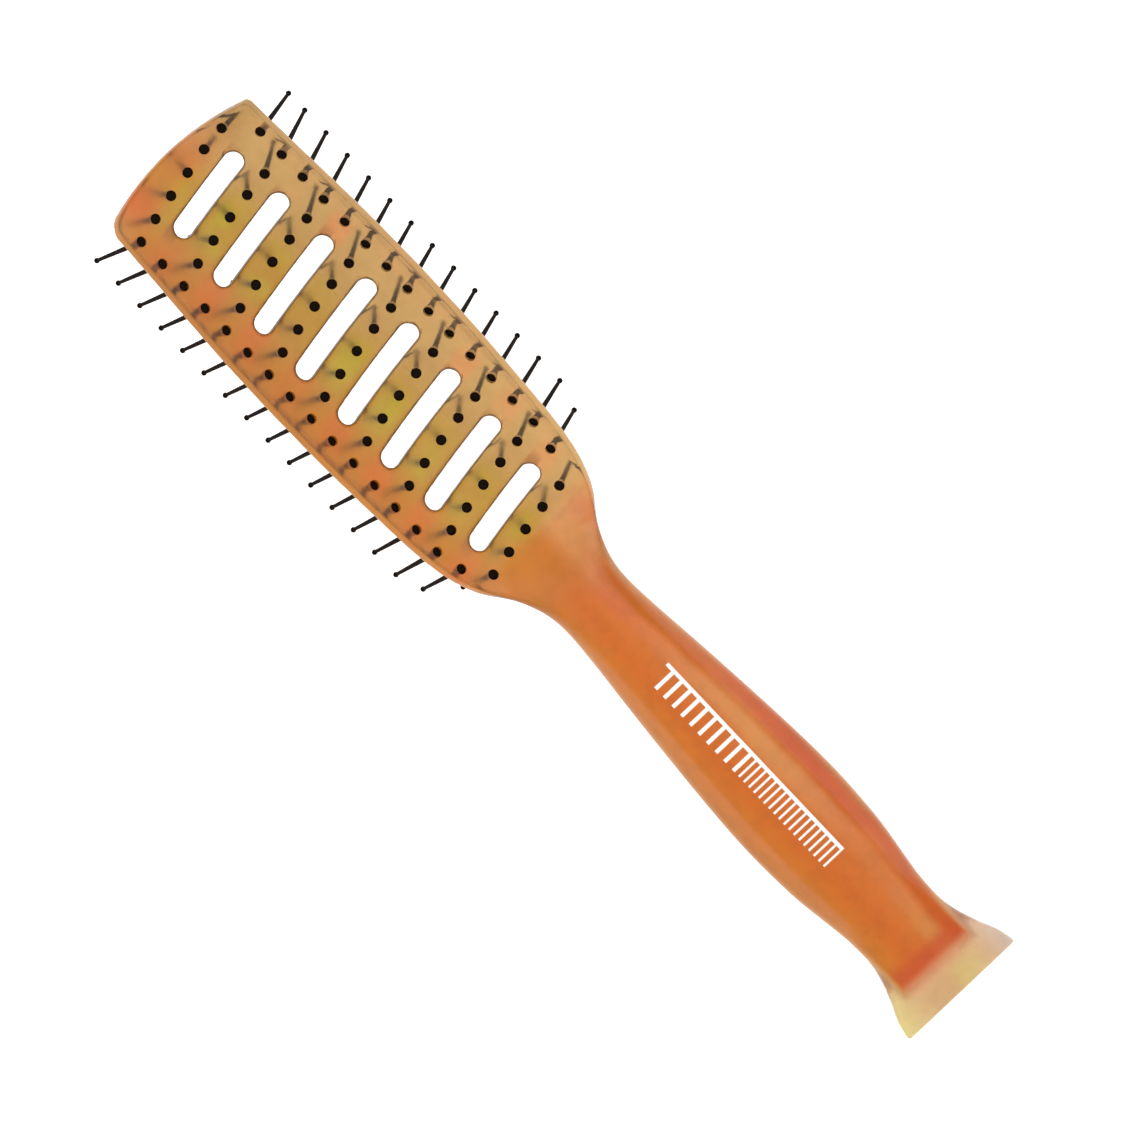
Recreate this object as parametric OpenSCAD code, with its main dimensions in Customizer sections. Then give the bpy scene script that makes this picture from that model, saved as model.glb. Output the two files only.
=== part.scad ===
// Vented styling brush: a one-piece body with an arched, slotted head, and 76 ball-tipped pins.
//
// The brush is laid out along X, from the tail end at x = 0 to the tip of the head, with the back of
// the head up and the pins down. rest() then stands it as it lies on a table, on its tail and its pins,
// with the origin under the middle.

/* [Brush] */
// Overall length, from the tail end to the tip of the head
brush_len = 221.5; // [218:0.5:232]

/* [Head] */
// Greatest width of the head
head_w = 38.2; // [38:0.2:42]
// Radius of the arch across the head, at the middle of the plate
arch_r = 32.5; // [30:0.5:34.5]
// Radius of the gentle curve along the head, which lifts its tip
curve_r = 800; // [600:50:1600]
// Thickness of the head plate
plate_t = 2.8; // [2.6:0.1:3.2]
// How far the middle of the tip stands out past its corners
tip_bulge = 2.6; // [0.6:0.2:4]
// Radius of the tip corner on the left, seen from the handle
left_corner_r = 3; // [1:0.5:4]
// Radius of the tip corner on the right, seen from the handle
right_corner_r = 1; // [1:0.5:4]

/* [Rows and slots] */
// Number of pin rows, with a slot between each two
row_count = 9; // [5:1:9]
// Distance from one row to the next
row_pitch = 11.75; // [11:0.05:12]
// Distance from the tip of the head to the middle of the first row
first_row = 5.1; // [5:0.1:8]
// Lean of the rows and slots from square
row_slant = 9.8; // [0:0.1:12]
// Width of a slot
slot_w = 4.1; // [3:0.1:5]
// Length of the longest slot
slot_len = 23.5; // [18:0.5:24.5]

/* [Pins] */
// Angle round the arch from one pin to the next
pin_angle = 9.7; // [9:0.1:10]
// Angle by which the pins at the right-hand corner of the tip are set back
corner_back = 10; // [0:1:12]
// Length of a pin, from the middle of the plate to the end of its ball
pin_len = 17.5; // [12:0.5:19]
// Diameter of the pin's head, which sits in the back of the plate
pin_head_d = 2; // [1.8:0.1:2.4]
// Diameter of the pin where it goes through the plate
pin_root_d = 1.4; // [1.2:0.05:1.6]
// Diameter of the shaft next to the ball
pin_end_d = 0.7; // [0.5:0.05:0.9]
// Diameter of the ball
ball_d = 1.1; // [1:0.1:1.5]

/* [Handle] */
// Width of the neck, where the head meets the grip
neck_w = 15.2; // [14:0.2:18]
// Greatest width of the grip
grip_w = 23.2; // [21:0.2:26]
// Greatest thickness of the grip
grip_t = 14.2; // [12:0.2:16]
// Width of the waist, in front of the tail
waist_w = 17; // [15:0.2:20]
// Width of the tail end
tail_w = 27.8; // [24:0.2:32]
// Thickness of the tail end
tail_t = 3.8; // [3:0.2:5]

/* [Hidden] */
PIN_ROWS = [for (i = [1:row_count]) str("pin_row_", i)];
LEFT_PINS = [for (i = [1:row_count - 1]) str("left_edge_pin_", i)];
RIGHT_PINS = [for (i = [1:row_count - 1]) str("right_edge_pin_", i)];

$fn = 32;
edge_k = 3; // pin position at the edge of the head, counted from the middle
last_edge_k = 2.75; // position of the last edge pins, further in where the head narrows
last_row_x = brush_len - first_row - (row_count - 1) * row_pitch;
neck_x = 104;
seat_gap = 0.05; // clearance round the pin's head and root
head_sink = 0.15; // how far the pin's head lies below the back of the plate
head_seat = 1.1; // depth of the seat for the pin's head

// Stations [x, value] along the body. smooth() runs a curve through them.
half_width_at = [
    [-1, tail_w / 2], [1, 0.99 * tail_w / 2], [4, 0.935 * tail_w / 2], [8, 0.805 * tail_w / 2],
    [12, 1.09 * waist_w / 2], [16, waist_w / 2], [20, 1.05 * waist_w / 2], [28, 0.87 * grip_w / 2],
    [36, 0.96 * grip_w / 2], [48, grip_w / 2], [60, 0.96 * grip_w / 2], [74, 0.87 * grip_w / 2],
    [86, 0.78 * grip_w / 2], [96, 1.06 * neck_w / 2], [neck_x, neck_w / 2], [108, 1.07 * neck_w / 2],
    [112, 0.5 * head_w / 2], [116, 0.63 * head_w / 2], [120, 0.76 * head_w / 2],
    [124, 0.84 * head_w / 2], [128, 0.89 * head_w / 2], [134, 0.93 * head_w / 2],
    [144, 0.96 * head_w / 2], [158, 0.99 * head_w / 2], [174, head_w / 2], [190, 0.985 * head_w / 2],
    [206, 0.945 * head_w / 2], [brush_len, 0.91 * head_w / 2]
];
half_thickness_at = [
    [-1, tail_t / 2], [1, tail_t / 2], [5, 0.53 * tail_t], [8, 0.2 * grip_t], [12, 0.31 * grip_t],
    [18, 0.38 * grip_t], [28, 0.45 * grip_t], [44, grip_t / 2], [60, grip_t / 2], [80, 0.46 * grip_t],
    [95, 0.42 * grip_t], [neck_x, 0.39 * grip_t], [109, 0.35 * grip_t], [113, 0.29 * grip_t],
    [116, 0.21 * grip_t], [119, 0.13 * grip_t], [121, plate_t / 2], [brush_len, plate_t / 2]
];
height_at = [
    [-1, 1], [1, 1], [5, 1.5], [12, 2.4], [18, 2.9], [50, 3.2], [80, 3.4], [98, 3.6], [neck_x, 3.4],
    [109, 3.1], [113, 2.4], [116, 1.5], [119, 0.4], [121, 0], [brush_len, 0]
];
arching_at = [[-1, 0], [102, 0], [106, 0.1], [112, 0.5], [119, 1], [brush_len, 1]];
squareness_at = [
    [-1, 5], [1, 5], [8, 3.4], [18, 2.6], [50, 2.4], [98, 2.5], [110, 3.2], [120, 14], [brush_len, 14]
];

// Slope of a station list at station i, from its neighbours
function slope(s, i) =
    let (a = max(i - 1, 0), b = min(i + 1, len(s) - 1))
    (s[b][1] - s[a][1]) / (s[b][0] - s[a][0]);

// The stretch between two stations that holds x
function stretch(s, x, i = 0) = i >= len(s) - 2 || x < s[i + 1][0] ? i : stretch(s, x, i + 1);

// Smooth curve through a station list
function smooth(s, x) =
    let (i = stretch(s, x), w = s[i + 1][0] - s[i][0], t = (x - s[i][0]) / w)
    s[i][1] * (1 + 2 * t) * pow(1 - t, 2) + s[i + 1][1] * t * t * (3 - 2 * t)
    + w * t * (1 - t) * (slope(s, i) * (1 - t) - slope(s, i + 1) * t);

// Rise of the head above the level of its last row, from the curve along it
function rise(x) = x > last_row_x ? pow(x - last_row_x, 2) / (2 * curve_r) : 0;

// Share of the full thickness that is left at x, which rounds off the rim of the tip
function tip_rim(x) =
    let (r = plate_t / 2, e = min(1, max(0, (x - brush_len + r) / r)))
    max(0.15, sqrt(1 - e * e));

// How far the curved edge of the tip lies behind its middle, at q = -1 to 1 across the width
function tip_curve(q) =
    let (w = head_w / 2, r = q > 0 ? left_corner_r : right_corner_r, e = max(0, 1 - w * (1 - abs(q)) / r))
    tip_bulge * q * q + r * (1 - sqrt(1 - e * e));

// Share of the tip's curve that a section at x follows
function tip_share(x) =
    let (t = min(1, max(0, 1 - (brush_len - x) / 40)))
    t * t * (3 - 2 * t);

// Point of the section at x, at the angle a round it
function section_point(x, a) =
    let (
        q = cos(a),
        m = smooth(squareness_at, x),
        y = q * smooth(half_width_at, x),
        lift = sign(sin(a)) * pow(max(0, 1 - pow(abs(q), m)), 1 / m)
            * smooth(half_thickness_at, x) * tip_rim(x),
        bend = asin(y / arch_r) * smooth(arching_at, x),
        sag = arch_r * (1 - cos(bend))
    )
    [
        x - tip_curve(q) * tip_share(x),
        y - lift * sin(bend),
        smooth(height_at, x) + rise(x) + sag + lift * cos(bend)
    ];

// Where the sections lie: closer where the shape changes quickly
section_x = concat(
    [-1, 1],
    [for (x = [3:3:21]) x],
    [for (x = [26:8:98]) x],
    [for (x = [101:2.5:126]) x],
    [for (x = [132:9:brush_len - 6]) x],
    [for (d = [3, 1.4, 0.9, 0.4, 0.1, 0]) brush_len - d]
);
section_sides = 32;

module body_shape() {
    n = section_sides;
    last = (len(section_x) - 1) * n;
    polyhedron(
        [for (x = section_x, k = [0:n - 1]) section_point(x, 360 * k / n)],
        concat(
            [for (i = [0:len(section_x) - 2], k = [0:n - 1], half = [0, 1])
                let (a = i * n + k, b = i * n + (k + 1) % n)
                half == 0 ? [a, a + n, b + n] : [a, b + n, b]],
            [for (k = [0:n / 2 - 1]) [k, k + 1, n - 1 - k, (n - k) % n]],
            [for (k = [0:n / 2 - 1]) [last + k, last + (n - k) % n, last + n - 1 - k, last + k + 1]]
        )
    );
}

// The middle of row i, where row i + 0.5 is a slot
function row_x(i) = brush_len - first_row - i * row_pitch;

// Places a child on the middle of the plate at x, square to the curve along the head
module on_plate(x) {
    translate([x, 0, rise(x)]) rotate([0, -atan((x - last_row_x) / curve_r), 0]) children();
}

// Places a pin-shaped child in position k of row i: square to the plate, or set back at the right-hand
// corner of the tip
module at_pin(i, k) {
    side = arch_r * sin(k * pin_angle);
    set_back = k < 0 ? corner_back * max(0, 1 - i) : 0;
    on_plate(row_x(i) - side * tan(row_slant))
        translate([0, 0, arch_r]) rotate([k * pin_angle, 0, 0]) translate([0, 0, -arch_r])
            rotate([0, set_back, 0]) children();
}

// Pin positions of row i: the first has none at the right-hand corner of the tip, and the last is short
function row_pins(i) = i == 0 ? [-2:edge_k] : i == row_count - 1 ? [-2:2] : [-edge_k:edge_k];

// Position of the edge pins beside slot i
function edge_pins_k(i) = i == row_count - 2 ? last_edge_k : edge_k;

module slot(i) {
    len = slot_len - 0.29 * pow(i - 3.6, 2);
    on_plate(row_x(i + 0.5))
        translate([0, 0, -plate_t * 3]) rotate([0, 0, row_slant])
            linear_extrude(arch_r / 2 + plate_t * 3) {
                square([slot_w, len - slot_w], center = true);
                for (end = [-1, 1]) translate([0, end * (len - slot_w) / 2]) circle(d = slot_w);
            }
}

// Hole for a pin: a through hole with a seat for the head at the back of the plate
module pin_hole() {
    translate([0, 0, -plate_t]) cylinder(h = 2 * plate_t, d = pin_root_d + seat_gap);
    translate([0, 0, plate_t / 2 - head_seat]) cylinder(h = 3 * head_seat, d = pin_head_d + seat_gap);
}

module pin() {
    seat = plate_t / 2 - head_seat;
    cone_end = -plate_t / 2 - 3;
    ball_z = -pin_len + ball_d / 2;
    translate([0, 0, seat]) cylinder(h = head_seat - head_sink, d = pin_head_d);
    translate([0, 0, -plate_t / 2]) cylinder(h = seat + plate_t / 2, d = pin_root_d);
    translate([0, 0, cone_end]) cylinder(h = 3, d1 = 1, d2 = pin_root_d);
    translate([0, 0, ball_z]) cylinder(h = cone_end - ball_z, d1 = pin_end_d, d2 = 1);
    translate([0, 0, ball_z]) sphere(d = ball_d);
}

// The resting pose: the lean that brings the tail end and the middle pin of the last row to the table
tail_bottom = smooth(height_at, 0) - tail_t / 2;
ball_drop = -pin_len + ball_d / 2 - tail_bottom;
rest_lean = asin(ball_d / 2 / norm([last_row_x, ball_drop])) - atan2(ball_drop, last_row_x);
rest_middle = (brush_len * cos(rest_lean) - rise(brush_len) * sin(rest_lean)) / 2;

module rest() {
    translate([-rest_middle, 0, -tail_bottom * cos(rest_lean)]) rotate([0, -rest_lean, 0]) children();
}

module brush_body() {
    color([0.86, 0.46, 0.22, 0.85]) rest() difference() {
        body_shape();
        translate([-10, -tail_w, -tail_w]) cube([10, 2 * tail_w, 2 * tail_w]);
        for (i = [0:row_count - 2]) slot(i);
        for (i = [0:row_count - 1], k = row_pins(i)) at_pin(i, k) pin_hole();
        for (i = [0:row_count - 2], side = [-1, 1]) at_pin(i + 0.5, side * edge_pins_k(i)) pin_hole();
    }
}

module pin_row(i) {
    color([0.08, 0.07, 0.07]) rest() for (k = row_pins(i)) at_pin(i, k) pin();
}

module edge_pin(i, side) {
    color([0.08, 0.07, 0.07]) rest() at_pin(i + 0.5, side * edge_pins_k(i)) pin();
}

brush_body();
for (i = [0:row_count - 1]) pin_row(i);
for (i = [0:row_count - 2]) edge_pin(i, 1);
for (i = [0:row_count - 2]) edge_pin(i, -1);
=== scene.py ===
"""Looks of the vented styling brush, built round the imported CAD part.

The brush is shaped in its own frame, in millimetres: x runs from the tail end to the tip of the head,
y to the left seen from the handle, and z out of the back. lay_down() then lays it on the table.
"""

import math

import bpy
import numpy as np
from mathutils import Matrix, Vector


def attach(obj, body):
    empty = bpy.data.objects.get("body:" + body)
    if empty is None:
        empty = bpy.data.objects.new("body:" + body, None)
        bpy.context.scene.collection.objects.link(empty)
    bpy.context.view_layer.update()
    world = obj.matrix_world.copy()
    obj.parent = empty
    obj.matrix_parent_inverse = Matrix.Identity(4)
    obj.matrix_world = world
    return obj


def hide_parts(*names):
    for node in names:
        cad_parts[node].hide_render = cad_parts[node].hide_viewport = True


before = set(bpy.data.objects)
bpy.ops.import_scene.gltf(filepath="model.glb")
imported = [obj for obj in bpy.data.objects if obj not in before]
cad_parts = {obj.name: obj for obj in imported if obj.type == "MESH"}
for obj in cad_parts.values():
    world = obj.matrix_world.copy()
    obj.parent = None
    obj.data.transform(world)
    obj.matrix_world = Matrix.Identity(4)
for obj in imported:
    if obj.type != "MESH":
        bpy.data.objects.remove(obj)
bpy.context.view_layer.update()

MM = 0.001  # millimetres to metres

# Head: length of the whole brush, radii of the arch across and the curve along, plate and outline
LENGTH = 221.5
ARCH_R = 32.5
CURVE_R = 800.0
PLATE_T = 2.8
HEAD_HALF = 19.1
TIP_BULGE = 2.6
LEFT_CORNER_R = 3.0
RIGHT_CORNER_R = 1.0
RIM_R = 0.7

# Rows of pins: the first one's distance from the tip, and how they slant
ROWS = 9
ROW_PITCH = 11.75
FIRST_ROW = 5.1
ROW_SLANT = math.radians(9.8)

# Slots between the rows: length of the longest one, where it is, and how fast the others get shorter
SLOT_W = 4.1
SLOT_LEN = 23.5
LONGEST_SLOT = 3.6
SLOT_SHRINK = 0.29

# Pins, and their places counted from the middle of a row
PIN_ANGLE = math.radians(9.7)
CORNER_BACK = math.radians(10)
PIN_LEN = 17.5
PIN_HEAD_D = 2.0
PIN_ROOT_D = 1.4
PIN_CONE_D = 1.0
PIN_CONE_LEN = 3.0
PIN_END_D = 0.7
BALL_D = 1.1
HEAD_SINK = 0.12
SEAT_DEPTH = 1.1
HOLE_GAP = 0.03
EDGE_K = 3
LAST_EDGE_K = 2.75

# Handle and tail
NECK_HALF = 7.6
GRIP_HALF = 11.6
GRIP_T = 14.2
WAIST_HALF = 8.5
TAIL_HALF = 13.9
TAIL_T = 3.8
CORE_END = 6.8
TAIL_FILLET = 3.5

# Printed mark: the ends of its teeth and where they change from fine to coarse, its spine, and the
# height that it is printed above
MARK_X = (37.0, 62.2, 86.2)
MARK_Y = -2.4
MARK_FLOOR = 3.5

# Looks
HEAD_CLEARNESS = 0.92
GRIP_CLEARNESS = 0.3
TAIL_CLEARNESS = 0.8
FLOOR_GLOW = 0.6
SKY_STRENGTH = 0.9

# Camera: it looks at its aim from nearly straight above, a little tilted towards one side, and turned
CAMERA_AIM = (2.36, -0.72, 15.0)
CAMERA_DISTANCE = 1985.1
CAMERA_TILT = math.radians(0.66)
CAMERA_TOWARDS = math.radians(-78.2)
CAMERA_TURN = math.radians(-43.33)
CAMERA_LENS = 334.3

# Mesh of the body: grid step, and the angle above which an edge stays sharp
MESH_STEP = 0.5
SHARP_ANGLE = math.radians(50)

# Stations [x, value] along the brush, which smooth_curve() runs through

# Half width of the head plate
PLATE_HALF = [
    [98, 3.0], [104, 4.8], [108, 6.4], [112, 0.485 * HEAD_HALF], [116, 0.63 * HEAD_HALF],
    [120, 0.76 * HEAD_HALF], [124, 0.84 * HEAD_HALF], [128, 0.89 * HEAD_HALF], [134, 0.93 * HEAD_HALF],
    [144, 0.96 * HEAD_HALF], [158, 0.99 * HEAD_HALF], [174, HEAD_HALF], [190, 0.985 * HEAD_HALF],
    [206, 0.945 * HEAD_HALF], [LENGTH, 0.91 * HEAD_HALF],
]
# Half width of the core of the grip and neck
CORE_HALF = [
    [0, 8.9], [8, 9.1], [12, 8.8], [16, WAIST_HALF], [20, 1.05 * WAIST_HALF], [28, 0.87 * GRIP_HALF],
    [36, 0.96 * GRIP_HALF], [48, GRIP_HALF], [60, 0.96 * GRIP_HALF], [74, 0.87 * GRIP_HALF],
    [86, 0.78 * GRIP_HALF], [96, 1.06 * NECK_HALF], [104, NECK_HALF], [108, 1.03 * NECK_HALF],
    [112, 8.1], [117, 9.2], [122, 10.5], [127, 11.5],
]
# Half thickness of that core
CORE_THICK = [
    [0, 0.8], [5, 1.2], [7, 1.8], [9, 2.8], [12, 4.4], [18, 5.4], [28, 6.4], [44, GRIP_T / 2],
    [60, GRIP_T / 2], [80, 6.5], [95, 6.0], [104, 5.5], [109, 5.0], [113, 4.1], [116, 3.1], [119, 2.1],
    [122, 1.2], [127, 0.3],
]
# Half width of the tail's thin blade
BLADE_HALF = [
    [0, TAIL_HALF], [1.5, 0.98 * TAIL_HALF], [4, 0.935 * TAIL_HALF], [8, 0.805 * TAIL_HALF],
    [12, 0.67 * TAIL_HALF], [16, 8.1], [20, 7.2], [26, 5.5],
]
# Height of the middle of the section
HEIGHT = [
    [0, 1.0], [5, 1.5], [12, 2.4], [18, 2.9], [50, 3.2], [80, 3.4], [98, 3.6], [104, 3.4], [109, 3.1],
    [113, 2.4], [116, 1.5], [119, 0.4], [121, 0], [LENGTH, 0],
]
# How fully the section follows the arch
ARCHING = [[0, 0], [102, 0], [106, 0.1], [112, 0.5], [119, 1], [LENGTH, 1]]
# Width of the fillet between the head plate and the core
NECK_FILLET = [[0, 4.0], [110, 4.0], [118, 2.0], [122, 0.6], [126, 0.2], [LENGTH, 0.2]]
# Power of the core's rounded section: 2 is an ellipse, more is squarer
SQUARENESS = [[0, 3.6], [12, 2.8], [20, 2.5], [50, 2.4], [98, 2.4], [108, 2.2], [127, 2.0]]
# How deeply the grip's side facets are cut
FACETS = [[0, 0], [14, 0.2], [26, 1], [88, 1], [102, 0.55], [114, 0], [LENGTH, 0]]

# Where the plate and the core run out inside each other, and the tail's blade inside the core
PLATE_START = 99
CORE_STOP = 126
BLADE_STOP = 25

# Side facet of the grip, from the ridge down to the rim, and the crown between the ridges: shares of
# the half width and the half thickness
RIDGE_Y, RIDGE_Z, RIM_Y = 0.64, 0.85, 1.03
CROWN_Z, CROWN_DROP = 0.94, 0.16


# ---------------------------------------------------------------- shape of the body

def smooth_curve(stations, x):
    """Smooth curve through [x, value] stations, with slopes taken from the neighbours."""
    sx, sv = np.array(stations, float).T
    slope = np.gradient(sv, sx)
    slope[1:-1] = (sv[2:] - sv[:-2]) / (sx[2:] - sx[:-2])
    i = np.clip(np.searchsorted(sx, x, side="right") - 1, 0, len(sx) - 2)
    w = sx[i + 1] - sx[i]
    t = np.clip((x - sx[i]) / w, 0, 1)
    ends = sv[i] * (1 + 2 * t) * (1 - t) ** 2 + sv[i + 1] * t * t * (3 - 2 * t)
    return ends + w * t * (1 - t) * (slope[i] * (1 - t) - slope[i + 1] * t)


def rounded_max(a, b, r):
    """The larger of two distances, with the edge where they meet rounded to radius r."""
    outside = np.hypot(np.maximum(a + r, 0), np.maximum(b + r, 0))
    return outside + np.minimum(np.maximum(a + r, b + r), 0) - r


def smooth_min(a, b, k):
    """The smaller of two distances, with a fillet of width k where they meet."""
    blend = np.maximum(k - np.abs(a - b), 0) / k
    return np.minimum(a, b) - blend * blend * k / 4


def row_x(i):
    """Place along the brush of the middle of row i; row i + 0.5 is a slot."""
    return LENGTH - FIRST_ROW - i * ROW_PITCH


def rise(x):
    """Rise of the head above the level of its last row, from the gentle curve along it."""
    return np.maximum(x - row_x(ROWS - 1), 0) ** 2 / (2 * CURVE_R)


def slot_distance(x, y):
    """Distance in plan to the nearest slot, below zero inside it."""
    nearest = np.full(np.shape(x), 1e3)
    for i in range(ROWS - 1):
        reach = (SLOT_LEN - SLOT_SHRINK * (i - LONGEST_SLOT) ** 2 - SLOT_W) / 2
        dx = x - row_x(i + 0.5)
        along = y * math.cos(ROW_SLANT) - dx * math.sin(ROW_SLANT)
        across = y * math.sin(ROW_SLANT) + dx * math.cos(ROW_SLANT)
        past_end = np.maximum(np.abs(along) - reach, 0)
        nearest = np.minimum(nearest, np.hypot(across, past_end) - SLOT_W / 2)
    return nearest


def arch_place(x, y, z):
    """Place on the arched plate: the foot point's x and y, the height off the middle of the plate, the
    length of the arc from the middle line, and the radius of the arch."""
    radius = ARCH_R / np.maximum(smooth_curve(ARCHING, x), 0.02) ** 2
    down = radius - (z - smooth_curve(HEIGHT, x) - rise(x))
    out = np.hypot(y, down)
    off = radius - out
    foot_x = x + off * np.maximum(x - row_x(ROWS - 1), 0) / CURVE_R
    return foot_x, radius * y / out, off, radius * np.arctan2(y, down), radius


def plate_distance(x, y, z):
    """Distance to the arched plate of the head, before its slots are cut."""
    foot_x, foot_y, off, arc, radius = arch_place(x, y, z)
    half = smooth_curve(PLATE_HALF, x)
    slope = smooth_curve(PLATE_HALF, x + 0.5) - smooth_curve(PLATE_HALF, x - 0.5)
    side = (np.abs(arc) - radius * np.arcsin(half / radius)) / np.hypot(1, slope)
    tip = foot_x - LENGTH + TIP_BULGE * (foot_y / half) ** 2
    corner_r = np.where(y > 0, LEFT_CORNER_R, RIGHT_CORNER_R)
    plan = np.maximum(rounded_max(side, tip, corner_r), PLATE_START - x)
    return rounded_max(plan, np.abs(off) - PLATE_T / 2, RIM_R)


def blade_distance(x, y, z):
    """Distance to the thin, flared blade of the tail."""
    half = smooth_curve(BLADE_HALF, x)
    slope = smooth_curve(BLADE_HALF, x + 0.5) - smooth_curve(BLADE_HALF, x - 0.5)
    side = (np.abs(y) - half) / np.hypot(1, slope)
    plan = rounded_max(rounded_max(side, -x, 0.6), x - BLADE_STOP, 0.6)
    off = np.abs(z - smooth_curve(HEIGHT, x)) - TAIL_T / 2
    return rounded_max(plan, off, 0.7)


def core_distance(x, y, z):
    """Distance to the thick core of the grip and neck, which follows the arch where it meets the plate."""
    half = smooth_curve(CORE_HALF, x)
    thick = smooth_curve(CORE_THICK, x)
    power = smooth_curve(SQUARENESS, x)
    up, y = arch_place(x, y, z)[2:4]
    u = np.abs(y) / half + 1e-6
    v = np.abs(up) / thick + 1e-6
    ring = (u ** power + v ** power) ** (1 / power)
    grow = ring ** (1 - power)
    slope = np.hypot(grow * u ** (power - 1) / half, grow * v ** (power - 1) / thick)
    round_part = np.maximum((ring - 1) / np.maximum(slope, 1e-3), np.abs(y) - half)
    normal_y, normal_z = RIDGE_Z * thick, (RIM_Y - RIDGE_Y) * half
    size = np.hypot(normal_y, normal_z)
    facet = ((np.abs(y) - RIDGE_Y * half) * normal_y + (up - RIDGE_Z * thick) * normal_z) / size
    crown = up - thick * (CROWN_Z - CROWN_DROP * (y / half) ** 2)
    away = 2.5 * (1 - smooth_curve(FACETS, x))
    cut = rounded_max(facet, crown, 1.2) - away
    shape = rounded_max(rounded_max(round_part, cut, 1.0), CORE_END - x, 2.4)
    return np.maximum(shape, x - CORE_STOP)


def within(shape, low, high, reach, x, y, z):
    """Distance to a shape that lies between x = low and high. It's rougher up to reach outside them, and
    just large past that."""
    past = np.maximum(low - x, 0) + np.maximum(x - high, 0)
    return np.where(past < reach, shape(np.clip(x, low, high), y, z) + past, 50.0)


def body_distance(p):
    """Distance to the body's surface from points p (N, 3), in millimetres."""
    x, y, z = p[:, 0], p[:, 1], p[:, 2]
    plate_low = PLATE_START - 2
    head = within(plate_distance, plate_low, LENGTH + 4, 1, x, y, z)
    tail = within(blade_distance, -3, BLADE_STOP + 2, 3, x, y, z)
    core = within(core_distance, -3, CORE_STOP + 2, 4, x, y, z)
    foot_x, foot_y = arch_place(np.maximum(x, plate_low), y, z)[:2]
    joined = smooth_min(head, core, smooth_curve(NECK_FILLET, x))
    slotted = rounded_max(joined, -slot_distance(foot_x, foot_y), RIM_R)
    return smooth_min(slotted, tail, TAIL_FILLET)


# ---------------------------------------------------------------- from distances to a mesh

def sample_grid(distance, low, high, step):
    """The distance at every point of a grid, worked out slab by slab."""
    axes = [np.arange(a, b + step, step) for a, b in zip(low, high)]
    field = np.empty([len(a) for a in axes], np.float32)
    yy, zz = np.meshgrid(axes[1], axes[2], indexing="ij")
    for i, x in enumerate(axes[0]):
        slab = np.stack([np.full(yy.size, x), yy.ravel(), zz.ravel()], 1)
        field[i] = distance(slab).reshape(yy.shape)
    return field


def net_vertices(field, low, step):
    """One point in each grid cell that the surface passes through, and each cell's number."""
    corner = [(i, j, k) for i in (0, 1) for j in (0, 1) for k in (0, 1)]
    shape = tuple(n - 1 for n in field.shape)
    cut = [field[i:shape[0] + i, j:shape[1] + j, k:shape[2] + k] for i, j, k in corner]
    inside = sum((c < 0).astype(np.int8) for c in cut)
    cells = np.argwhere((inside > 0) & (inside < 8))
    value = np.stack([c[tuple(cells.T)] for c in cut], 1)
    total = np.zeros((len(cells), 3))
    count = np.zeros(len(cells))
    for a in range(8):
        for b in range(a + 1, 8):
            if sum(abs(p - q) for p, q in zip(corner[a], corner[b])) != 1:
                continue
            crosses = (value[:, a] < 0) != (value[:, b] < 0)
            gap = np.where(crosses, value[:, a] - value[:, b], 1)
            t = (value[:, a] / gap)[:, None]
            point = np.array(corner[a]) * (1 - t) + np.array(corner[b]) * t
            total += np.where(crosses[:, None], point, 0)
            count += crosses
    number = np.full(shape, -1, np.int64)
    number[tuple(cells.T)] = np.arange(len(cells))
    return np.array(low) + (cells + total / count[:, None]) * step, number


def net_faces(field, number):
    """One quad round each grid edge that the surface crosses."""
    faces = []
    for axis in range(3):
        b, c = (axis + 1) % 3, (axis + 2) % 3
        first = np.take(field, range(field.shape[axis] - 1), axis) < 0
        second = np.take(field, range(1, field.shape[axis]), axis) < 0
        edge = np.argwhere(first != second)
        edge = edge[(edge[:, b] > 0) & (edge[:, c] > 0)]
        edge = edge[(edge[:, b] < number.shape[b]) & (edge[:, c] < number.shape[c])]
        step_b, step_c = np.eye(3, dtype=int)[b], np.eye(3, dtype=int)[c]
        around = [edge - step_b - step_c, edge - step_c, edge, edge - step_b]
        quad = np.stack([number[tuple(cell.T)] for cell in around], 1)
        leaving = first[tuple(edge.T)]
        faces.append(np.where(leaving[:, None], quad, quad[:, ::-1]))
    return np.concatenate(faces)


def settle(points, distance, rounds=4):
    """Moves points onto the surface, along its steepest direction."""
    h = 0.02
    for _ in range(rounds):
        d = distance(points)
        slope = np.stack([(distance(points + h * e) - distance(points - h * e)) / (2 * h)
                          for e in np.eye(3)], 1)
        size = np.maximum((slope ** 2).sum(1), 0.2)
        points = points - np.clip(d / size, -0.3, 0.3)[:, None] * slope
    return points


def mesh_object(name, points, faces, material):
    """A new mesh object from points and faces."""
    mesh = bpy.data.meshes.new(name)
    mesh.from_pydata(np.asarray(points).tolist(), [], [list(map(int, f)) for f in faces])
    mesh.materials.append(material)
    ob = bpy.data.objects.new(name, mesh)
    bpy.context.scene.collection.objects.link(ob)
    return ob


def rest_pose():
    """Lean and shift, in millimetres, that bring the tail end and the last row's pins to the table."""
    tail_bottom = HEIGHT[0][1] - TAIL_T / 2
    drop = -PIN_LEN + BALL_D / 2 - tail_bottom
    last_row = row_x(ROWS - 1)
    lean = math.asin(BALL_D / 2 / math.hypot(last_row, drop)) - math.atan2(drop, last_row)
    middle = (LENGTH * math.cos(lean) - rise(LENGTH) * math.sin(lean)) / 2
    return lean, Vector((-middle, 0, -tail_bottom * math.cos(lean)))


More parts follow.
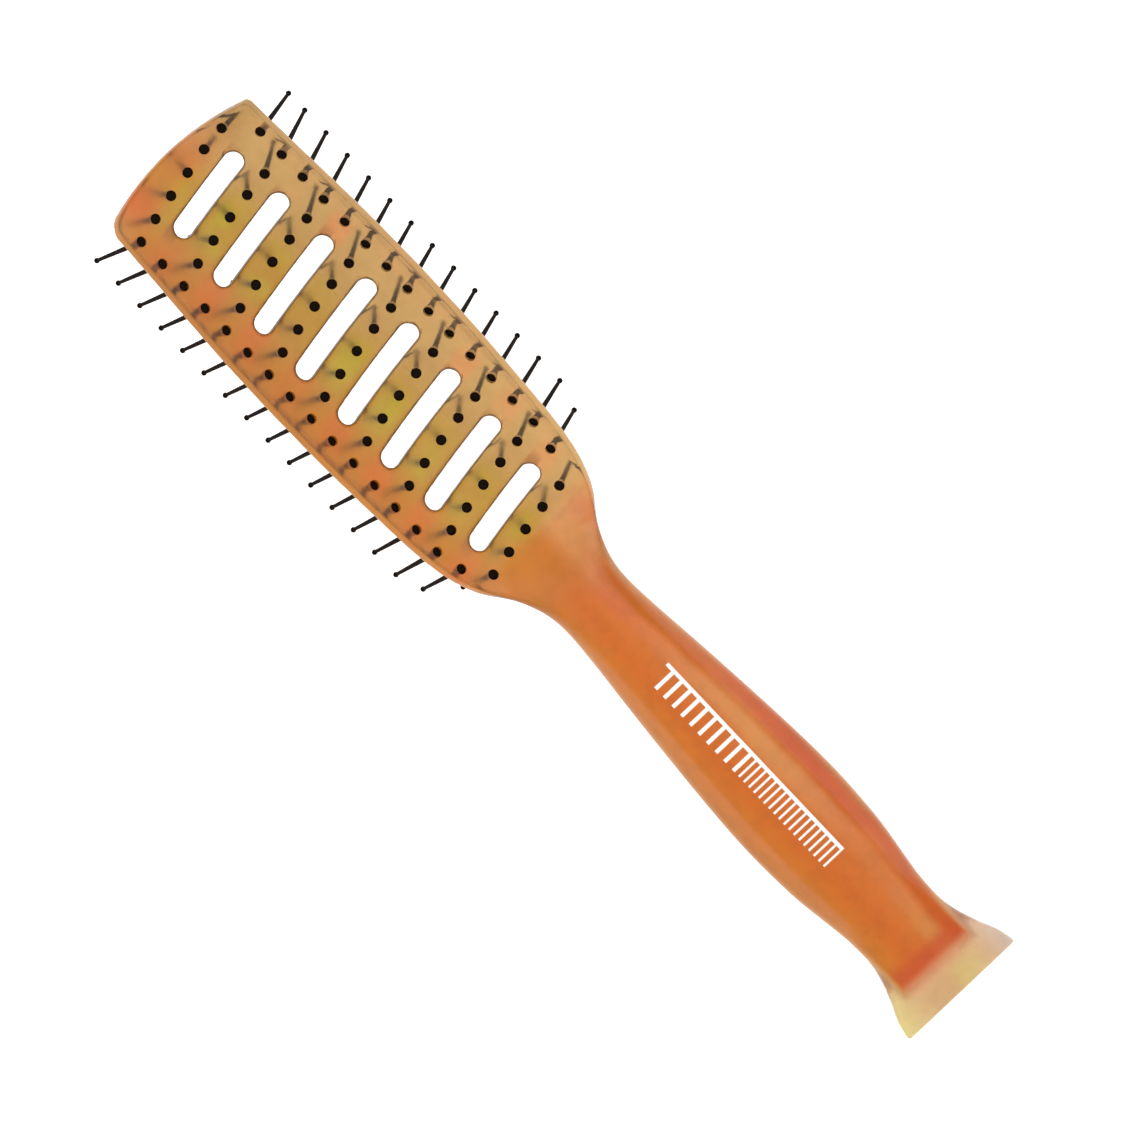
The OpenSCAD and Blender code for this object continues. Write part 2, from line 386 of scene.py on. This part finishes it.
def lay_down(piece):
    """Shades a finished mesh smooth, scales it to metres and lays it in the resting pose."""
    lean, shift = rest_pose()
    place = Matrix.Scale(MM, 4) @ Matrix.Translation(shift) @ Matrix.Rotation(-lean, 4, "Y")
    piece.data.shade_smooth()
    piece.data.set_sharp_from_angle(angle=SHARP_ANGLE)
    piece.data.transform(place)


# ---------------------------------------------------------------- pins

def pin_profile():
    """Radius and height of the pin's outline, from its head in the plate down to its ball."""
    top, seat = PLATE_T / 2 - HEAD_SINK, PLATE_T / 2 - SEAT_DEPTH
    root, ball_z = -PLATE_T / 2, -PIN_LEN + BALL_D / 2
    head_r, root_r, cone_r = PIN_HEAD_D / 2, PIN_ROOT_D / 2, PIN_CONE_D / 2
    end_r, ball_r = PIN_END_D / 2, BALL_D / 2
    points = [(0, top), (0.5 * head_r, top - 0.01), (0.8 * head_r, top - 0.05), (0.95 * head_r, top - 0.14),
              (head_r, top - 0.28), (head_r, seat), (root_r, seat), (root_r, root - 0.1)]
    for t in np.linspace(0.1, 1, 7):
        points.append((cone_r + (root_r - cone_r) * (1 - t) ** 2, root - t * PIN_CONE_LEN))
    neck = math.asin(end_r / ball_r)
    points.append((end_r, ball_z + ball_r * math.cos(neck) + 0.25))
    for a in np.linspace(neck, math.pi, 12):
        points.append((ball_r * math.sin(a), ball_z + ball_r * math.cos(a)))
    points[-1] = (0, ball_z - ball_r)
    return points


def lathe(profile, sides=20):
    """Points and faces of a profile turned round z, with a single point at each end."""
    ring = [(math.cos(a), math.sin(a)) for a in np.linspace(0, 2 * math.pi, sides, endpoint=False)]
    points = [(0, 0, profile[0][1])]
    for r, z in profile[1:-1]:
        points += [(r * c, r * s, z) for c, s in ring]
    points.append((0, 0, profile[-1][1]))
    last = len(points) - 1
    faces = [(0, 1 + k, 1 + (k + 1) % sides) for k in range(sides)]
    for j in range(len(profile) - 3):
        a, b = 1 + j * sides, 1 + (j + 1) * sides
        faces += [(a + k, b + k, b + (k + 1) % sides, a + (k + 1) % sides) for k in range(sides)]
    end = last - sides
    faces += [(end + k, last, end + (k + 1) % sides) for k in range(sides)]
    return np.array(points), faces


def pin_place(i, k):
    """Rotation and translation of the pin in position k of row i: square to the plate, or set back at the
    right-hand corner of the tip."""
    x = row_x(i) - ARCH_R * math.sin(k * PIN_ANGLE) * math.tan(ROW_SLANT)
    tilt = Matrix.Rotation(-math.atan((x - row_x(ROWS - 1)) / CURVE_R), 4, "Y")
    swing = Matrix.Translation((0, 0, ARCH_R)) @ Matrix.Rotation(k * PIN_ANGLE, 4, "X")
    set_back = CORNER_BACK * max(0, 1 - i) if k < 0 else 0
    stand = Matrix.Translation((0, 0, -ARCH_R)) @ Matrix.Rotation(set_back, 4, "Y")
    place = np.array(Matrix.Translation((x, 0, rise(x))) @ tilt @ swing @ stand)
    return place[:3, :3], place[:3, 3]


def at_pins(places, shape, shape_faces):
    """Points and faces of a shape repeated at each (row, position) place of a pin."""
    points, faces = [], []
    for i, k in places:
        turn, move = pin_place(i, k)
        start = len(points) * len(shape)
        points.append(shape @ turn.T + move)
        faces += [tuple(v + start for v in f) for f in shape_faces]
    return np.concatenate(points), faces


def row_positions(i):
    """Pin positions of row i, counted from the middle, left positive."""
    if i == 0:
        return range(-2, EDGE_K + 1)
    if i == ROWS - 1:
        return range(-2, 3)
    return range(-EDGE_K, EDGE_K + 1)


def edge_pins_k(i):
    """Position of the edge pins beside slot i: the last ones stand further in, where the head narrows."""
    return LAST_EDGE_K if i == ROWS - 2 else EDGE_K


def pin_nodes():
    """Each CAD node of pins, with the (row, position) places of its pins."""
    nodes = {f"pin_row_{i + 1}": [(i, k) for k in row_positions(i)] for i in range(ROWS)}
    for i in range(ROWS - 1):
        nodes[f"left_edge_pin_{i + 1}"] = [(i + 0.5, edge_pins_k(i))]
        nodes[f"right_edge_pin_{i + 1}"] = [(i + 0.5, -edge_pins_k(i))]
    return nodes


# ---------------------------------------------------------------- materials

def srgb(code):
    """Linear colour of a hexadecimal sRGB code."""
    parts = [int(code[i:i + 2], 16) / 255 for i in (0, 2, 4)]
    return (*[c / 12.92 if c <= 0.04045 else ((c + 0.055) / 1.055) ** 2.4 for c in parts], 1.0)


class Nodes:
    """Short ways to add and link shader nodes."""

    def __init__(self, name):
        self.material = bpy.data.materials.new(name)
        self.material.use_nodes = True
        self.tree = self.material.node_tree
        self.shader = self.tree.nodes["Principled BSDF"]

    def add(self, kind, **settings):
        node = self.tree.nodes.new(kind)
        for key, value in settings.items():
            setattr(node, key, value)
        return node

    def feed(self, value, socket):
        if isinstance(value, bpy.types.NodeSocket):
            self.tree.links.new(value, socket)
        else:
            socket.default_value = value

    def math(self, operation, a, b=0.0):
        node = self.add("ShaderNodeMath", operation=operation)
        self.feed(a, node.inputs[0])
        self.feed(b, node.inputs[1])
        return node.outputs[0]

    def product(self, *values):
        total = values[0]
        for value in values[1:]:
            total = self.math("MULTIPLY", total, value)
        return total

    def span(self, value, low, high, to_low=0.0, to_high=1.0):
        """Smooth step of value from low to high."""
        node = self.add("ShaderNodeMapRange", interpolation_type="SMOOTHSTEP")
        ends = {"Value": value, "From Min": low, "From Max": high, "To Min": to_low, "To Max": to_high}
        for name, v in ends.items():
            self.feed(v, node.inputs[name])
        return node.outputs["Result"]

    def band(self, value, centre, reach):
        """1 at centre, fading smoothly to 0 at reach on each side."""
        away = self.math("ABSOLUTE", self.math("SUBTRACT", value, centre))
        return self.span(away, 0.15 * reach, reach, 1.0, 0.0)

    def curve(self, value, stations):
        """Value read from a smooth curve through [place, value] stations."""
        places, values = np.array(stations, float).T
        top = values.max()
        node = self.add("ShaderNodeFloatCurve")
        share = self.math("DIVIDE", self.math("SUBTRACT", value, places[0]), places[-1] - places[0])
        self.feed(share, node.inputs["Value"])
        points = node.mapping.curves[0].points
        spots = np.stack([(places - places[0]) / (places[-1] - places[0]), values / top], 1)
        points[0].location, points[1].location = spots[0], spots[-1]
        for spot in spots[1:-1]:
            points.new(*spot)
        node.mapping.update()
        return self.math("MULTIPLY", node.outputs["Value"], top)

    def ramp(self, value, stops):
        """Colour blended along value through [place, colour code] stops."""
        low, high = stops[0][0], stops[-1][0]
        node = self.add("ShaderNodeValToRGB")
        node.color_ramp.interpolation = "CARDINAL"
        self.feed(self.math("DIVIDE", self.math("SUBTRACT", value, low), high - low), node.inputs["Fac"])
        spots = node.color_ramp.elements
        spots[0].color, spots[1].color = srgb(stops[0][1]), srgb(stops[-1][1])
        for place, code in stops[1:-1]:
            spots.new((place - low) / (high - low)).color = srgb(code)
        return node.outputs["Color"]

    def noise(self, where, scale, detail=2.0, rough=0.5):
        node = self.add("ShaderNodeTexNoise")
        for name, v in zip(("Vector", "Scale", "Detail", "Roughness"), (where, scale, detail, rough)):
            self.feed(v, node.inputs[name])
        return node.outputs["Fac"]

    def mix(self, factor, a, b):
        node = self.add("ShaderNodeMix", data_type="RGBA")
        for name, v in zip(("Factor", "A", "B"), (factor, a, b)):
            self.feed(v, node.inputs[name])
        return node.outputs["Result"]

    def bump(self, height, strength, distance):
        node = self.add("ShaderNodeBump")
        for name, v in zip(("Strength", "Distance", "Height"), (strength, distance, height)):
            self.feed(v, node.inputs[name])
        self.feed(node.outputs["Normal"], self.shader.inputs["Normal"])

    def set(self, **values):
        for key, value in values.items():
            self.feed(value, self.shader.inputs[key.replace("_", " ")])


def brush_place(n):
    """Place in the brush's own frame, in millimetres, as a vector and as x, y and z."""
    lean, shift = rest_pose()
    back = n.add("ShaderNodeMapping", vector_type="TEXTURE")
    n.feed(n.add("ShaderNodeTexCoord").outputs["Object"], back.inputs["Vector"])
    n.feed(shift * MM, back.inputs["Location"])
    n.feed((0, -lean, 0), back.inputs["Rotation"])
    n.feed((MM, MM, MM), back.inputs["Scale"])
    split = n.add("ShaderNodeSeparateXYZ")
    n.feed(back.outputs["Vector"], split.inputs[0])
    return back.outputs["Vector"], split.outputs


def head_colour(n, x, y, patches, clouds):
    """Tan on the right to orange on the left; olive patches on the ribs, warm ones past the slots; painted
    shade beside each slot and towards the tip.
    """
    colour = n.ramp(y, [(-19, "CB9B5E"), (-14.5, "C99F5F"), (-7.7, "C49956"), (0, "C19238"), (7.7, "BB851E"),
                        (14.4, "C37B29"), (19, "C27D30")])
    slanted = n.math("ADD", x, n.math("MULTIPLY", y, math.tan(ROW_SLANT)))
    turns = n.math("DIVIDE", n.math("SUBTRACT", row_x(0), slanted), ROW_PITCH / (2 * math.pi))
    wave = n.math("COSINE", turns)
    olive = n.product(n.band(y, 3, 9), n.span(wave, -0.3, 0.7), n.span(patches, 0.38, 0.62))
    colour = n.mix(n.math("MULTIPLY", olive, 0.85), colour, srgb("BAA118"))
    warm = n.product(n.band(y, 13.5, 6), n.span(wave, 0.5, -0.7), n.span(clouds, 0.3, 0.55))
    colour = n.mix(n.math("MULTIPLY", warm, 0.7), colour, srgb("D26E2B"))
    pink = n.product(n.band(y, -12, 5), n.span(wave, 0.3, -0.8), n.span(clouds, 0.42, 0.62))
    colour = n.mix(n.math("MULTIPLY", pink, 0.7), colour, srgb("DD8E55"))
    # Painted shade: a darker band along the tip-side edge of each slot
    shade = n.product(n.span(wave, -0.05, -0.45), n.math("GREATER_THAN", n.math("SINE", turns), 0.0))
    shade = n.product(shade, n.span(n.math("ABSOLUTE", y), 12, 9.5), n.span(x, 116, 122), 0.6)
    colour = n.mix(shade, colour, srgb("9A5A28"))
    tip = n.ramp(y, [(-19, "BF9555"), (-14.4, "B6894C"), (-7.7, "C48A4D"), (-2, "CA7C38"), (4, "C47C1B"),
                     (9.6, "CE691D"), (15.3, "D58D43"), (19, "CC8C45")])
    colour = n.mix(n.span(x, 212, 218), colour, tip)
    # Painted shade: darker towards the tip, evening out the stronger light on the raised tip
    return n.mix(n.span(x, 130, 222, 0, 0.18), colour, srgb("2A1808"))


def neck_colour(n, y):
    """Orange brown, with a painted highlight: a lighter tan band right of the middle."""
    return n.ramp(y, [(-14, "CB8345"), (-11.5, "CB7B44"), (-7.7, "CE8B4E"), (-4, "D1904F"), (-1, "C87A2A"),
                      (4, "C87A20"), (8.6, "C87924"), (14, "C67B34")])


def grip_colour(n, x, y, clouds):
    """Orange, with a painted highlight inside the right-hand ridge and painted shade, a deeper band, outside
    it.
    """
    across = n.math("DIVIDE", y, n.curve(x, CORE_HALF))
    across = n.math("ADD", across, n.math("MULTIPLY", n.math("SUBTRACT", clouds, 0.5), 0.35))
    colour = n.ramp(across, [(-1, "C9843B"), (-0.86, "CA772F"), (-0.55, "D06D26"), (-0.1, "D9762C"),
                             (0.3, "D66F22"), (0.7, "D37924"), (0.9, "CB7A22"), (1, "CD842B")])
    # Painted shade: a deeper orange streak outside the right-hand ridge
    shade_streak = n.ramp(x, [(12, "CB5C15"), (25, "CA5D14"), (40, "CC5810"), (55, "C9500A"), (75, "CC5E14"),
                        (95, "C2640F"), (112, "C8671E")])
    colour = n.mix(n.math("MULTIPLY", n.band(across, -0.76, 0.26), 0.95), colour, shade_streak)
    # Painted highlight: a lighter band inside the right-hand ridge
    light = n.ramp(x, [(12, "DB9049"), (22, "D98141"), (33, "D87D3C"), (45, "DA8749"), (61, "DC9550"),
                       (80, "D98A4B"), (95, "D8783A"), (104, "D57236"), (112, "DB8C43")])
    colour = n.mix(n.math("MULTIPLY", n.band(across, -0.4, 0.32), 0.9), colour, light)
    end = n.product(n.band(x, 9.8, 4.5), n.span(n.math("ABSOLUTE", y), 8.8, 7.2, 0, 0.8))
    return n.mix(end, colour, srgb("CE5526"))


def tail_colour(n, x, y):
    """Nearly colourless blade, with a trace of warmth near the core."""
    pale = n.ramp(y, [(-13.9, "D9C9BB"), (-9, "DEC09C"), (-3, "DEC88A"), (1, "DAB785"), (8, "DEC290"),
                      (13.9, "E6D896")])
    return n.mix(n.product(n.span(x, 3.5, 7), n.span(n.math("ABSOLUTE", y), 9, 6)), pale, srgb("E8BE90"))


def comb_mark(n, x, y, z):
    """Mask of a small printed comb on the back of the grip: a spine, coarse teeth and fine teeth."""
    def between(value, low, high):
        return n.product(n.math("GREATER_THAN", value, low), n.math("LESS_THAN", value, high))

    def teeth(start, end, pitch, width):
        phase = n.math("MODULO", n.math("SUBTRACT", x, start), pitch)
        return n.product(between(x, start, end), n.math("LESS_THAN", phase, width))

    first, middle, last = MARK_X
    spine = n.product(between(x, first, last), between(y, MARK_Y, MARK_Y + 0.75))
    both = n.math("ADD", teeth(first, middle, 1.4, 0.45), teeth(middle, last, 2.4, 0.8))
    rows = n.product(both, between(y, MARK_Y, MARK_Y + 5.2))
    return n.product(n.math("MAXIMUM", spine, rows), n.math("GREATER_THAN", z, MARK_FLOOR))


def surface_flatness(n):
    """How level the surface is: 1 where it faces up or down, 0 where it stands upright."""
    lift = n.add("ShaderNodeSeparateXYZ")
    n.feed(n.add("ShaderNodeNewGeometry").outputs["Normal"], lift.inputs[0])
    return n.math("ABSOLUTE", lift.outputs[2])


def with_wall_shade_and_mottle(n, where, x, y, flatness, colour):
    """The body's colour with painted shade darkening the walls round the slots, and a faint mottle."""
    inner = n.product(n.span(x, 112, 118), n.span(x, 217, 214), n.span(n.math("ABSOLUTE", y), 13.5, 11.5))
    # Painted shade on the slots' upright walls, standing in for light dimmed through the plastic's edges
    rim = n.product(n.span(flatness, 0.89, 0.55), inner, 0.8)
    colour = n.mix(rim, colour, srgb("4A2A10"))
    mottle = n.span(n.noise(where, 0.3, 4.0, 0.6), 0.4, 0.65, 0, 0.1)
    return n.mix(mottle, colour, srgb("5E3410"))


def clearness(n, x, y, flatness, blade):
    """Share of light let through: high in the tail and the head, less at its rim, and low in the grip."""
    clear = n.span(x, 96, 120, GRIP_CLEARNESS, HEAD_CLEARNESS)
    edgeward = n.math("DIVIDE", n.math("ABSOLUTE", y), n.curve(x, PLATE_HALF))
    face = n.product(n.span(flatness, 0.7, 0.8, 0.25, 1), n.span(edgeward, 0.94, 0.98, 1, 0.4))
    clear = n.math("MULTIPLY", clear, n.math("MAXIMUM", face, n.span(x, 122, 114)))
    return n.math("MAXIMUM", clear, n.math("MULTIPLY", blade, TAIL_CLEARNESS))


def clear_orange():
    """Clear orange plastic: tan where thin, orange where thick, nearly colourless at the tail."""
    n = Nodes("clear_orange_plastic")
    where, (x, y, z) = brush_place(n)
    patches = n.noise(where, 0.11)
    clouds = n.noise(where, 0.045)
    drift = n.math("MULTIPLY", n.math("SUBTRACT", clouds, 0.5), 9)
    y_soft = n.math("ADD", y, drift)
    x_soft = n.math("ADD", x, drift)

    colour = n.mix(n.span(x_soft, 117, 125), neck_colour(n, y), head_colour(n, x, y_soft, patches, clouds))
    colour = n.mix(n.span(x_soft, 103, 114), grip_colour(n, x, y, clouds), colour)
    edge = n.product(n.span(x, 20, 13), n.span(n.math("ABSOLUTE", y), 7.6, 9.8))
    blade = n.math("MAXIMUM", n.span(x, 9.8, 5), edge)
    colour = n.mix(blade, colour, tail_colour(n, x, y))

    flatness = surface_flatness(n)
    colour = with_wall_shade_and_mottle(n, where, x, y, flatness, colour)
    mark = comb_mark(n, x, y, z)
    clear = n.math("MULTIPLY", clearness(n, x, y, flatness, blade), n.math("SUBTRACT", 1.0, mark))
    n.set(Base_Color=n.mix(mark, colour, srgb("F4F0EC")), Transmission_Weight=clear)
    n.set(Roughness=n.span(y_soft, -13, 0, 0.14, 0.32), IOR=1.45, Specular_IOR_Level=0.18)
    n.bump(n.noise(where, 1.4, 2.0, 0.6), 0.12, 0.04 * MM)
    return n.material


def black_nylon():
    """Black nylon of the pins, satin, with a faint grain."""
    n = Nodes("black_nylon")
    where, _ = brush_place(n)
    grain = n.noise(where, 0.7, 2.0, 0.6)
    n.set(Base_Color=n.mix(grain, srgb("100905"), srgb("1A110A")))
    n.set(Roughness=n.span(grain, 0.3, 0.7, 0.45, 0.6), Specular_IOR_Level=0.02)
    n.bump(grain, 0.1, 0.03 * MM)
    return n.material


def studio_floor():
    """White light table: paper-white, with a faint grain and a soft glow that lifts the shadows."""
    n = Nodes("studio_floor")
    grain = n.noise(n.add("ShaderNodeTexCoord").outputs["Object"], 300, 3.0)
    n.set(Base_Color=n.mix(grain, (0.84, 0.84, 0.84, 1), (0.88, 0.88, 0.88, 1)), Roughness=0.9)
    n.set(Specular_IOR_Level=0.1, Emission_Color=(1, 1, 1, 1), Emission_Strength=FLOOR_GLOW)
    return n.material


# ---------------------------------------------------------------- pieces

def pin_holes():
    """Points and faces of all the stepped pin holes of the body, as one cutting mesh."""
    head_r, root_r = PIN_HEAD_D / 2 + HOLE_GAP, PIN_ROOT_D / 2 + HOLE_GAP
    seat, reach = PLATE_T / 2 - SEAT_DEPTH, 4
    profile = [(0, reach), (head_r, reach), (head_r, seat), (root_r, seat), (root_r, -reach), (0, -reach)]
    places = [place for places in pin_nodes().values() for place in places]
    return at_pins(places, *lathe(profile, 24))


def drill(body, cutter):
    """Cuts the cutter's shape out of the body's mesh, and removes the cutter."""
    cut = body.modifiers.new("cut", "BOOLEAN")
    cut.object = cutter
    cut.solver = "EXACT"
    bpy.context.view_layer.update()
    drilled = bpy.data.meshes.new_from_object(body.evaluated_get(bpy.context.evaluated_depsgraph_get()))
    body.modifiers.clear()
    body.data = drilled
    bpy.data.objects.remove(cutter)


def brush_body(material):
    """The one-piece body: distance field to quads, settled on the surface, then drilled for the pins."""
    low, high = (-1.5, -22.0, -6.0), (LENGTH + 1.5, 22.0, 16.0)  # a box with some room round the body
    field = sample_grid(body_distance, low, high, MESH_STEP)
    points, number = net_vertices(field, low, MESH_STEP)
    faces = net_faces(field, number)
    points = settle(points, body_distance)
    body = mesh_object("body_shell", points, faces, material)
    drill(body, mesh_object("hole_cutter", *pin_holes(), material))
    lay_down(body)
    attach(body, "root")
    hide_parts("brush_body")


def all_pins(material):
    """A piece for each row of pins and for each single pin at the edges."""
    shape, shape_faces = lathe(pin_profile())
    for node, places in pin_nodes().items():
        piece = mesh_object(node + "_nylon", *at_pins(places, shape, shape_faces), material)
        lay_down(piece)
        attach(piece, "root")
        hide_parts(node)


# ---------------------------------------------------------------- stage, light and camera

def floor(size, material):
    """Square floor, a hair below the brush."""
    corners = [(size / 2 * i, size / 2 * j, 0) for i, j in ((-1, -1), (1, -1), (1, 1), (-1, 1))]
    ob = mesh_object("floor", corners, [(0, 1, 2, 3)], material)
    ob.location = (0, 0, -0.3 * MM)
    return ob


def area_light(name, place, aim, size, power):
    """Square light at place, turned towards aim."""
    lamp = bpy.data.lights.new(name, "AREA")
    lamp.size = size
    lamp.energy = power
    ob = bpy.data.objects.new(name, lamp)
    bpy.context.scene.collection.objects.link(ob)
    ob.location = place
    ob.rotation_euler = (Vector(aim) - Vector(place)).to_track_quat("-Z", "Y").to_euler()


def stage():
    """White floor, soft white surroundings and two large lights."""
    floor(6.0, studio_floor())
    world = bpy.data.worlds.new("studio")
    world.use_nodes = True
    sky = world.node_tree.nodes["Background"]
    sky.inputs["Color"].default_value = (1, 1, 1, 1)
    sky.inputs["Strength"].default_value = SKY_STRENGTH
    bpy.context.scene.world = world
    aim = (0, 0, 0.02)
    area_light("key", (-0.1, -0.5, 0.9), aim, size=0.8, power=2.2)
    area_light("fill", (0.3, 0.5, 0.8), aim, size=1.0, power=2.0)


def camera():
    """Nearly straight above and far off, with the brush running from upper left to lower right."""
    aim = Vector(CAMERA_AIM) * MM
    level = math.sin(CAMERA_TILT)
    back = (level * math.cos(CAMERA_TOWARDS), level * math.sin(CAMERA_TOWARDS), math.cos(CAMERA_TILT))
    back = Vector(back)
    right = Vector((math.cos(CAMERA_TURN), math.sin(CAMERA_TURN), 0)).cross(back).normalized()
    up = back.cross(right)
    data = bpy.data.cameras.new("camera")
    data.lens = CAMERA_LENS
    data.clip_end = 20
    ob = bpy.data.objects.new("camera", data)
    bpy.context.scene.collection.objects.link(ob)
    turn = Matrix((right, up, back)).transposed().to_4x4()
    ob.matrix_world = Matrix.Translation(aim + back * (CAMERA_DISTANCE * MM)) @ turn
    bpy.context.scene.camera = ob


bpy.context.scene.view_settings.view_transform = "Standard"
camera()
stage()
brush_body(clear_orange())
all_pins(black_nylon())
